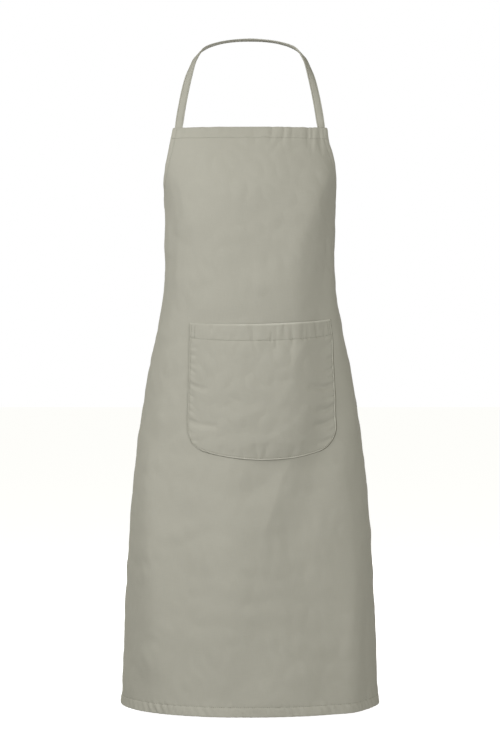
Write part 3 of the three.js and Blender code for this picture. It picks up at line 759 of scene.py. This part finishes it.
tuck_below = np.array([STRAP_TUCK, 8.0, 0.0])
tuck_arc, tuck_drop = STRAP_ARC + tuck_below * STRAP_LEAN, BIB_TOP + tuck_below
tuck_look = form_facing(tuck_arc, tuck_drop)
tuck = form_point(tuck_arc, tuck_drop) + tuck_look * TUCK_ABOVE
right_places = np.vstack([tuck, STRAP[:, :3]])
right_looks = np.vstack([tuck_look, STRAP[:, 3:]])
flip = np.array([-1.0, 1, 1])
strap_places = np.vstack([right_places * flip, (0, 0, 0), right_places[::-1]])
strap_looks = np.vstack([right_looks * flip, NAPE_LOOK, right_looks[::-1]])
tapes = {"neck_strap": lay_tape("apron_neck_strap", strap_places, strap_looks, turn_at=SHOULDER_TURN)}

# %% Waist ties and their free ends
TIE_DROP, TIE_TUCK = 382.0, 28.0
KNOT_WIDTH, KNOT_DEPTH, KNOT_HEIGHT = 26.0, 16.0, 24.0
END_LENGTH, END_SPLAY, END_START = 430.0, 26.0, 6.0
tie_row = read_table(FORM, np.array([TIE_DROP]))[0]
back_y = tie_row[0] + tie_row[2] + tie_row[3]
half_girth = section_line(*tie_row)[2]
for name, way in (("left", -1), ("right", 1)):
    arc = way * np.linspace(cloth_edge(TIE_DROP) - TIE_TUCK, half_girth - KNOT_WIDTH / 2 + 2, 10)
    look = form_facing(arc, TIE_DROP + 0 * arc)
    tie_places = form_point(arc, TIE_DROP) + look * TUCK_ABOVE
    tapes["waist_tie_" + name] = lay_tape("apron_tie_" + name, tie_places, look)
    fall = np.linspace(0, 1, 11)
    drop = TIE_DROP + KNOT_HEIGHT / 2 - 3 + END_LENGTH * fall
    row = read_table(FORM, drop)
    out = way * (END_START + END_SPLAY * fall ** 1.5)
    end = np.stack([out, row[:, 0] + row[:, 2] + row[:, 3] - 2.1, -drop], axis=1)
    end_look = np.tile([0.15 * way, 1.0, 0.0], (len(fall), 1))
    tapes["tie_end_" + name] = lay_tape("apron_tie_end_" + name, end, end_look)
print("back of the waist at y", round(back_y, 1), "mm")

# %% Knot behind the waist
bm = bmesh.new()
bmesh.ops.create_cube(bm, size=1.0)
bmesh.ops.subdivide_edges(bm, edges=bm.edges, cuts=15, use_grid_fill=True)
for vert in bm.verts:
    p = np.array(vert.co) * 2
    p /= (np.abs(p) ** 3.0).sum() ** (1 / 3.0)
    wrap = 1 - 0.2 * math.exp(-(((abs(p[0]) - 0.55) / 0.09) ** 2)) + 0.05 * math.sin(8 * p[2] + 4 * p[0])
    pinch = np.array([1, wrap, wrap * (1 - 0.22 * p[0] * p[0])])
    spot = p * pinch * np.array([KNOT_WIDTH, KNOT_DEPTH, KNOT_HEIGHT]) / 2
    vert.co = Vector((spot + (0, back_y - 4.1, -TIE_DROP)) * MM)
for face in bm.faces:
    face.smooth = True
layer = bm.loops.layers.uv.new("cloth")
for face in bm.faces:
    for loop in face.loops:
        loop[layer].uv = (loop.vert.co.x, loop.vert.co.z)
mesh = bpy.data.meshes.new("apron_knot")
bm.to_mesh(mesh)
bm.free()
apron_knot = bpy.data.objects.new("apron_knot", mesh)
bpy.context.scene.collection.objects.link(apron_knot)
print("knot faces", len(mesh.polygons))

# %% [markdown]
# ## Thread
# Every hem is held by a row of lockstitch in thread of the cloth's own colour. Painted dashes vanish when the
# light comes from the side, so each stitch is a tiny closed bead of thread, pressed into the cloth. Between
# two stitches, where the thread dives into its needle hole, a dark bead paints in the shade of the hole. A
# seam is a route over the cloth, and one helper walks along it and drops a bead at every pitch. An operator
# gets slower as its mesh grows, so a few beads are made at a time and then added to the row.

# %% Beads along a seam
PITCH, BATCH = 3.2, 20
# share of the pitch at which a bead sits, its length, half width and half height
STITCH_BEAD = (0.0, 2.3, 0.36, 0.30)
# dark beads of painted shade between the stitches, where the needle holes are
NEEDLE_SHADE_BEAD = (0.5, 1.1, 0.42, 0.22)


def bead_place(place, run, up, bead):
    """Matrix that lays a round bead along a seam, flat on the cloth."""
    up, run = Vector(up).normalized(), Vector(run).normalized()
    side = run.cross(up)
    _, length, wide, tall = bead
    axes = Matrix((up * tall * MM, side * wide * MM, run * length / 2 * MM)).transposed().to_4x4()
    axes.translation = Vector(place * MM)
    return axes


def sew(row, route, facing, bead):
    """Adds the beads of one seam to a row, and returns how many there are."""
    run = run_of(route)
    spots = np.arange(PITCH * (0.5 + bead[0]), run[-1], PITCH)

    def at(shift, line):
        return np.stack([np.interp(spots + shift, run, line[:, k]) for k in range(3)], axis=1)

    places, runs, ups = at(0, route), at(0.4, route) - at(-0.4, route), at(0, facing)
    scratch = bpy.data.meshes.new("scratch")
    for first in range(0, len(spots), BATCH):
        few = bmesh.new()
        for k in range(first, min(first + BATCH, len(spots))):
            bmesh.ops.create_uvsphere(few, u_segments=6, v_segments=4, radius=1.0,
                                      matrix=bead_place(places[k], runs[k], ups[k], bead))
        few.to_mesh(scratch)
        few.free()
        row.from_mesh(scratch)
    bpy.data.meshes.remove(scratch)
    return len(spots)


def bead_piece(name, seams, bead):
    """One mesh of all the beads along several seams."""
    row = bmesh.new()
    count = sum(sew(row, route, facing, bead) for route, facing in seams)
    for face in row.faces:
        face.smooth = True
    mesh = bpy.data.meshes.new(name)
    row.to_mesh(mesh)
    row.free()
    piece = bpy.data.objects.new(name, mesh)
    bpy.context.scene.collection.objects.link(piece)
    print(name, count, "beads")
    return piece


# %% Seams of the panel


def panel_seam(arc, drop):
    """A seam on the panel's outer face."""
    arc, drop = np.broadcast_arrays(np.asarray(arc, float), np.asarray(drop, float))
    return cloth_point(arc, drop, 0.02), form_facing(arc, drop)


across = np.linspace(-1, 1, 301)
down = np.linspace(BIB_TOP + 1, HEM_LINE - 1, 480)
panel_seams = [
    panel_seam(across * (cloth_edge(BIB_TOP + BIB_SEAM) - 1), BIB_TOP + BIB_SEAM),
    panel_seam(across * (cloth_edge(HEM_LINE - FOOT_SEAM) - 1), HEM_LINE - FOOT_SEAM),
    panel_seam(EDGE_SEAM - cloth_edge(down), down),
    panel_seam(cloth_edge(down) - EDGE_SEAM, down),
]
panel_thread = bead_piece("panel_thread", panel_seams, STITCH_BEAD)
panel_shade_beads = bead_piece("panel_needle_shade", panel_seams, NEEDLE_SHADE_BEAD)

# %% Seams of the pocket


def pocket_seam(u, v):
    """A seam on the pocket's face."""
    u, v = np.broadcast_arrays(np.asarray(u, float), np.asarray(v, float))
    flat = pocket_place(u, v)
    return cloth_point(flat[:, 0], -flat[:, 1], pocket_lie(u, v) + 0.02), form_facing(flat[:, 0], -flat[:, 1])


inset_u, inset_v = POCKET_SEAM / POCKET_WIDE, POCKET_SEAM / POCKET_DEEP
run_down = np.linspace(0.004, 1 - inset_v, 160)
run_over = np.linspace(inset_u, 1 - inset_u, 200)
mouth_v, box_u = MOUTH_SEAM / POCKET_DEEP, (POCKET_SEAM + CORNER_BOX) / POCKET_WIDE
box_run = np.linspace(0.006, mouth_v, 20)
pocket_seams = [
    pocket_seam(inset_u, run_down),
    pocket_seam(run_over, 1 - inset_v),
    pocket_seam(1 - inset_u, run_down),
    pocket_seam(run_over, mouth_v),
    pocket_seam(box_u, box_run),
    pocket_seam(1 - box_u, box_run),
]
pocket_thread = bead_piece("pocket_thread", pocket_seams, STITCH_BEAD)
pocket_shade_beads = bead_piece("pocket_needle_shade", pocket_seams, NEEDLE_SHADE_BEAD)

# %% Seams of the tapes
tape_seams = []
for tape in tapes.values():
    for edge_line in (-1, 1):
        offset = tape["side"] * edge_line * (TAPE_WIDTH / 2 - TAPE_SEAM)
        tape_seams.append((tape["route"] + offset + tape["outer"] * TAPE_WALL * 0.86, tape["outer"]))
tape_thread = bead_piece("tape_thread", tape_seams, STITCH_BEAD)
tape_shade_beads = bead_piece("tape_needle_shade", tape_seams, NEEDLE_SHADE_BEAD)

# %% [markdown]
# ## Cloth and thread finishes
# The cloth is a fine cotton twill in a grey sage: matt, a little soft at grazing angles, with diagonal lines
# finer than a millimetre, and threads that are never quite the same thickness. The weave is one node group
# that reads the cloth's own UV map and gives a colour, a roughness and a height; each material places it
# with its own values.

# %% Weave group


def add_node(tree, kind, at, **values):
    """A node in a tree; values set its properties or, where it has no such property, its inputs."""
    node = tree.nodes.new(kind)
    node.location = at
    for name, value in values.items():
        if hasattr(node, name):
            setattr(node, name, value)
        else:
            node.inputs[name.replace("_", " ")].default_value = value
    return node


def weighted_sum(tree, at, first, second, weight):
    """Output of a Math node that adds weight times second to first."""
    node = add_node(tree, "ShaderNodeMath", at, operation="MULTIPLY_ADD")
    tree.links.new(second, node.inputs[0])
    node.inputs[1].default_value = weight
    tree.links.new(first, node.inputs[2])
    return node.outputs["Value"]


# share of painted light mixed into the colour where its mask is full
PAINTED_LIGHT_SHARE = 0.75
weave = bpy.data.node_groups.new("twill_weave", "ShaderNodeTree")
for name, kind, value in (("Light", "NodeSocketColor", (0.45, 0.44, 0.38, 1)),
                          ("Dark", "NodeSocketColor", (0.40, 0.39, 0.33, 1)),
                          ("Lines", "NodeSocketFloat", 380.0),
                          ("Foot", "NodeSocketFloat", -9.0)):
    weave.interface.new_socket(name, in_out="INPUT", socket_type=kind).default_value = value
for name, kind in (("Colour", "NodeSocketColor"), ("Height", "NodeSocketFloat"),
                   ("Roughness", "NodeSocketFloat")):
    weave.interface.new_socket(name, in_out="OUTPUT", socket_type=kind)
inlet = add_node(weave, "NodeGroupInput", (-1400, 0))
outlet = add_node(weave, "NodeGroupOutput", (900, 0))
cloth_uv = add_node(weave, "ShaderNodeUVMap", (-1400, 300), uv_map="cloth")
turned = add_node(weave, "ShaderNodeMapping", (-1150, 300), Rotation=(0, 0, math.radians(58)))
twill = add_node(weave, "ShaderNodeTexWave", (-850, 350), Distortion=0.6, Detail=1.0, Detail_Scale=1.5)
warp_way = add_node(weave, "ShaderNodeMapping", (-1150, -50), Scale=(1500, 60, 1))
warp = add_node(weave, "ShaderNodeTexNoise", (-850, -20), Scale=1.0, Detail=3.0)
weft_way = add_node(weave, "ShaderNodeMapping", (-1150, -350), Scale=(60, 1500, 1))
weft = add_node(weave, "ShaderNodeTexNoise", (-850, -320), Scale=1.0, Detail=3.0)
cloud = add_node(weave, "ShaderNodeTexNoise", (-850, -620), Scale=14.0, Detail=4.0)
creased = add_node(weave, "ShaderNodeTexNoise", (-850, 650), Scale=70.0, Detail=3.0)
for way, pattern in ((turned, twill), (warp_way, warp), (weft_way, weft)):
    weave.links.new(cloth_uv.outputs["UV"], way.inputs["Vector"])
    weave.links.new(way.outputs["Vector"], pattern.inputs["Vector"])
for pattern in (cloud, creased):
    weave.links.new(cloth_uv.outputs["UV"], pattern.inputs["Vector"])
weave.links.new(inlet.outputs["Lines"], twill.inputs["Scale"])
yarn = weighted_sum(weave, (-550, -150), warp.outputs["Fac"], weft.outputs["Fac"], 1.0)
tone = weighted_sum(weave, (-350, -100), yarn, twill.outputs["Fac"], 0.35)
tone = weighted_sum(weave, (-150, -200), tone, cloud.outputs["Fac"], 0.5)
spread = add_node(weave, "ShaderNodeMapRange", (100, -100), From_Min=0.9, From_Max=1.95)
weave.links.new(tone, spread.inputs["Value"])
blend_tone = add_node(weave, "ShaderNodeMix", (400, 100), data_type="RGBA")
weave.links.new(spread.outputs["Result"], blend_tone.inputs["Factor"])
weave.links.new(inlet.outputs["Dark"], blend_tone.inputs["A"])
weave.links.new(inlet.outputs["Light"], blend_tone.inputs["B"])
# painted light: where the mask is set the colour turns paler, a highlight along the pocket's edge and light
# on the strap's inner face at the nape
painted_pale = add_node(weave, "ShaderNodeAttribute", (400, 400), attribute_name="painted_light")
painted_pale_factor = add_node(weave, "ShaderNodeMath", (550, 400), operation="MULTIPLY")
painted_pale_factor.inputs[1].default_value = PAINTED_LIGHT_SHARE
weave.links.new(painted_pale.outputs["Fac"], painted_pale_factor.inputs[0])
painted_light_mix = add_node(weave, "ShaderNodeMix", (700, 200), data_type="RGBA")
# pale colour of the painted light
painted_light_mix.inputs["B"].default_value = (0.80, 0.79, 0.72, 1)
weave.links.new(painted_pale_factor.outputs["Value"], painted_light_mix.inputs["Factor"])
weave.links.new(blend_tone.outputs["Result"], painted_light_mix.inputs["A"])
weave.links.new(painted_light_mix.outputs["Result"], outlet.inputs["Colour"])
height = weighted_sum(weave, (100, 400), twill.outputs["Fac"], yarn, 0.8)
height = weighted_sum(weave, (300, 500), height, creased.outputs["Fac"], 2.5)

# the foot hem's finest puckers are too small for the grid, so they are part of the relief
hem_way = add_node(weave, "ShaderNodeMapping", (-1150, 900), Scale=(150, 30, 1),
                   Rotation=(0, 0, math.radians(8)))
hem_rope = add_node(weave, "ShaderNodeTexNoise", (-850, 900), Scale=1.0, Detail=1.5)
weave.links.new(cloth_uv.outputs["UV"], hem_way.inputs["Vector"])
weave.links.new(hem_way.outputs["Vector"], hem_rope.inputs["Vector"])
flat_place = add_node(weave, "ShaderNodeSeparateXYZ", (-1150, 1150))
weave.links.new(cloth_uv.outputs["UV"], flat_place.inputs["Vector"])
from_foot = add_node(weave, "ShaderNodeMath", (-850, 1150), operation="SUBTRACT")
weave.links.new(flat_place.outputs["Y"], from_foot.inputs[0])
weave.links.new(inlet.outputs["Foot"], from_foot.inputs[1])
in_hem = add_node(weave, "ShaderNodeMapRange", (-550, 1150), interpolation_type="SMOOTHSTEP",
                  From_Min=0.022, From_Max=0.010, To_Min=0.0, To_Max=1.0)
weave.links.new(from_foot.outputs["Value"], in_hem.inputs["Value"])
roped = add_node(weave, "ShaderNodeMath", (-250, 1000), operation="MULTIPLY")
weave.links.new(hem_rope.outputs["Fac"], roped.inputs[0])
weave.links.new(in_hem.outputs["Result"], roped.inputs[1])
height = weighted_sum(weave, (500, 600), height, roped.outputs["Value"], 14.0)
weave.links.new(height, outlet.inputs["Height"])
rough = add_node(weave, "ShaderNodeMapRange", (400, -300), To_Min=0.84, To_Max=0.96)
weave.links.new(spread.outputs["Result"], rough.inputs["Value"])
weave.links.new(rough.outputs["Result"], outlet.inputs["Roughness"])
print("weave group nodes", len(weave.nodes))

# %% Cloth, tape and thread materials


def cloth_material(name, light, dark, lines, relief_height, foot):
    """A woven finish: the weave group for colour, roughness and bump, and a soft sheen."""
    material = bpy.data.materials.new(name)
    material.use_nodes = True
    tree = material.node_tree
    tree.nodes.clear()
    group = add_node(tree, "ShaderNodeGroup", (-500, 0), node_tree=weave)
    group.inputs["Light"].default_value = (*light, 1)
    group.inputs["Dark"].default_value = (*dark, 1)
    group.inputs["Lines"].default_value = lines
    group.inputs["Foot"].default_value = foot
    shader = add_node(tree, "ShaderNodeBsdfPrincipled", (0, 0), Sheen_Weight=0.06, Sheen_Roughness=0.5)
    shader.inputs["Specular IOR Level"].default_value = 0.2
    relief = add_node(tree, "ShaderNodeBump", (-250, -250), Strength=1.0, Distance=relief_height)
    out = add_node(tree, "ShaderNodeOutputMaterial", (300, 0))
    tree.links.new(group.outputs["Colour"], shader.inputs["Base Color"])
    tree.links.new(group.outputs["Roughness"], shader.inputs["Roughness"])
    tree.links.new(group.outputs["Height"], relief.inputs["Height"])
    tree.links.new(relief.outputs["Normal"], shader.inputs["Normal"])
    tree.links.new(shader.outputs["BSDF"], out.inputs["Surface"])
    return material


# a tape has no foot hem, so its foot lies far below it
NO_FOOT = -9.0
panel_cloth = cloth_material("sage_twill", (0.446, 0.436, 0.386), (0.404, 0.394, 0.346), 380.0, 0.00006,
                             -HEM_LINE * MM)
tape_cloth = cloth_material("sage_tape", (0.452, 0.444, 0.394), (0.410, 0.402, 0.356), 420.0, 0.00005,
                            NO_FOOT)


def yarn_material(name, deep, high, scale):
    """A plain spun finish: two shades of one colour, mixed by a fine noise in the piece's own place."""
    material = bpy.data.materials.new(name)
    material.use_nodes = True
    tree = material.node_tree
    shader = tree.nodes["Principled BSDF"]
    shader.inputs["Roughness"].default_value = 0.8
    shader.inputs["Specular IOR Level"].default_value = 0.2
    coords = add_node(tree, "ShaderNodeTexCoord", (-900, 0))
    ply = add_node(tree, "ShaderNodeTexNoise", (-650, 0), Scale=scale)
    shades = add_node(tree, "ShaderNodeMix", (-350, 0), data_type="RGBA")
    shades.inputs["A"].default_value = (*deep, 1)
    shades.inputs["B"].default_value = (*high, 1)
    tree.links.new(coords.outputs["Object"], ply.inputs["Vector"])
    tree.links.new(ply.outputs["Fac"], shades.inputs["Factor"])
    tree.links.new(shades.outputs["Result"], shader.inputs["Base Color"])
    return material


thread_finish = yarn_material("sage_thread", (0.37, 0.36, 0.31), (0.45, 0.44, 0.38), 2500.0)
# very dark finish of the needle beads: painted shade of the needle holes
needle_shade_finish = yarn_material("painted_needle_shade", (0.07, 0.068, 0.055), (0.13, 0.125, 0.10), 1200.0)
for piece in (apron_panel, apron_pocket):
    piece.data.materials.append(panel_cloth)
for piece in [tape["piece"] for tape in tapes.values()] + [apron_knot]:
    piece.data.materials.append(tape_cloth)
for piece in (panel_thread, pocket_thread, tape_thread):
    piece.data.materials.append(thread_finish)
for piece in (panel_shade_beads, pocket_shade_beads, tape_shade_beads):
    piece.data.materials.append(needle_shade_finish)
# dark finish of the strip beside the pocket: painted shade
shade_strip_finish = yarn_material("painted_shade_strip", (0.17, 0.165, 0.13), (0.25, 0.24, 0.20), 900.0)
pocket_shade_strip.data.materials.append(shade_strip_finish)
print("materials", [m.name for m in bpy.data.materials])

# %% [markdown]
# ## Ride and replace
# The apron has no joints, so every piece rides on the one body. Each laid piece stands for the plain solids
# it covers.

# %% Ties to the frame
HEM_NODES = ("bib_hem", "armhole_hem_left", "armhole_hem_right", "side_hem_left", "side_hem_right",
             "bottom_hem")
laid = [
    (apron_panel, "apron_cloth", ("front_panel",) + HEM_NODES),
    (apron_pocket, "apron_cloth", ("pocket", "pocket_hem")),
    (apron_knot, "strap_tape", ("waist_knot",)),
]
laid += [(tape["piece"], "strap_tape", (node,)) for node, tape in tapes.items()]
for piece, slot, nodes in laid:
    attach(piece, "root")
    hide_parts(*nodes)
for piece in (panel_thread, panel_shade_beads, pocket_thread, pocket_shade_beads, pocket_shade_strip, tape_thread,
              tape_shade_beads):
    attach(piece, "root")
print("pieces", [piece.name for piece, _, _ in laid])

# %% [markdown]
# ## Floor, light and camera
# A pale floor just below the hem and a white surround. One broad soft light stands far to the left and above,
# so that the right side of every fold falls into shade. A second one in front, to the right, keeps that shade
# open, and a third one behind lights the inside of the cloth.

# %% Stage
FLOOR_Z = -1.045
bm = bmesh.new()
bmesh.ops.create_grid(bm, x_segments=2, y_segments=2, size=30.0)
bmesh.ops.translate(bm, verts=bm.verts, vec=(0, 0, FLOOR_Z))
mesh = bpy.data.meshes.new("pale_floor")
bm.to_mesh(mesh)
bm.free()
floor = bpy.data.objects.new("pale_floor", mesh)
bpy.context.scene.collection.objects.link(floor)
pale = bpy.data.materials.new("pale_floor")
pale.use_nodes = True
shader = pale.node_tree.nodes["Principled BSDF"]
shader.inputs["Base Color"].default_value = (0.8, 0.8, 0.8, 1)
shader.inputs["Roughness"].default_value = 1.0
shader.inputs["Specular IOR Level"].default_value = 0.0
shader.inputs["Emission Color"].default_value = (0.98, 0.98, 1, 1)
shader.inputs["Emission Strength"].default_value = 0.82
floor.data.materials.append(pale)
floor.visible_diffuse = False

world = bpy.data.worlds.new("white_surround")
bpy.context.scene.world = world
world.use_nodes = True
tree = world.node_tree
tree.nodes.clear()
way = add_node(tree, "ShaderNodeTexCoord", (-1000, -100))
upward = add_node(tree, "ShaderNodeSeparateXYZ", (-800, -100))
dome = add_node(tree, "ShaderNodeMapRange", (-600, -100), From_Min=-1.0, To_Min=0.10, To_Max=0.26)
given = add_node(tree, "ShaderNodeBackground", (-300, -100), Color=(1, 0.98, 0.72, 1))
seen = add_node(tree, "ShaderNodeBackground", (-300, 100), Color=(1, 1, 1, 1), Strength=1.0)
path = add_node(tree, "ShaderNodeLightPath", (-600, 300))
mixed = add_node(tree, "ShaderNodeMixShader", (0, 0))
out = add_node(tree, "ShaderNodeOutputWorld", (250, 0))
tree.links.new(way.outputs["Generated"], upward.inputs["Vector"])
tree.links.new(upward.outputs["Z"], dome.inputs["Value"])
tree.links.new(dome.outputs["Result"], given.inputs["Strength"])
tree.links.new(path.outputs["Is Camera Ray"], mixed.inputs["Fac"])
tree.links.new(given.outputs["Background"], mixed.inputs[1])
tree.links.new(seen.outputs["Background"], mixed.inputs[2])
tree.links.new(mixed.outputs["Shader"], out.inputs["Surface"])


def soft_light(name, at, aim, size, power):
    """A square area light that looks at a point."""
    light = bpy.data.lights.new(name, "AREA")
    light.shape = "SQUARE"
    light.size = size
    light.energy = power
    lamp = bpy.data.objects.new(name, light)
    lamp.location = at
    lamp.rotation_euler = (Vector(aim) - Vector(at)).to_track_quat("-Z", "Y").to_euler()
    bpy.context.scene.collection.objects.link(lamp)
    return lamp


middle = (0, -0.12, -0.55)
soft_light("side_light", (-2.0, -1.3, 0.55), middle, 1.3, 43)
soft_light("front_light", (1.3, -2.7, -0.3), middle, 1.6, 47)
soft_light("back_light", (0.3, 2.6, 0.2), middle, 1.6, 30)

camera_data = bpy.data.cameras.new("front")
camera_data.sensor_fit = "VERTICAL"
camera_data.sensor_height = 36.0
camera_data.lens = 98.63
camera = bpy.data.objects.new("front", camera_data)
camera.location = (0.0001, -3.230, -0.5258)
camera.rotation_euler = (math.pi / 2, 0, 0)
bpy.context.scene.collection.objects.link(camera)
bpy.context.scene.camera = camera
bpy.context.scene.view_settings.view_transform = "Standard"
print("camera", tuple(camera.location))
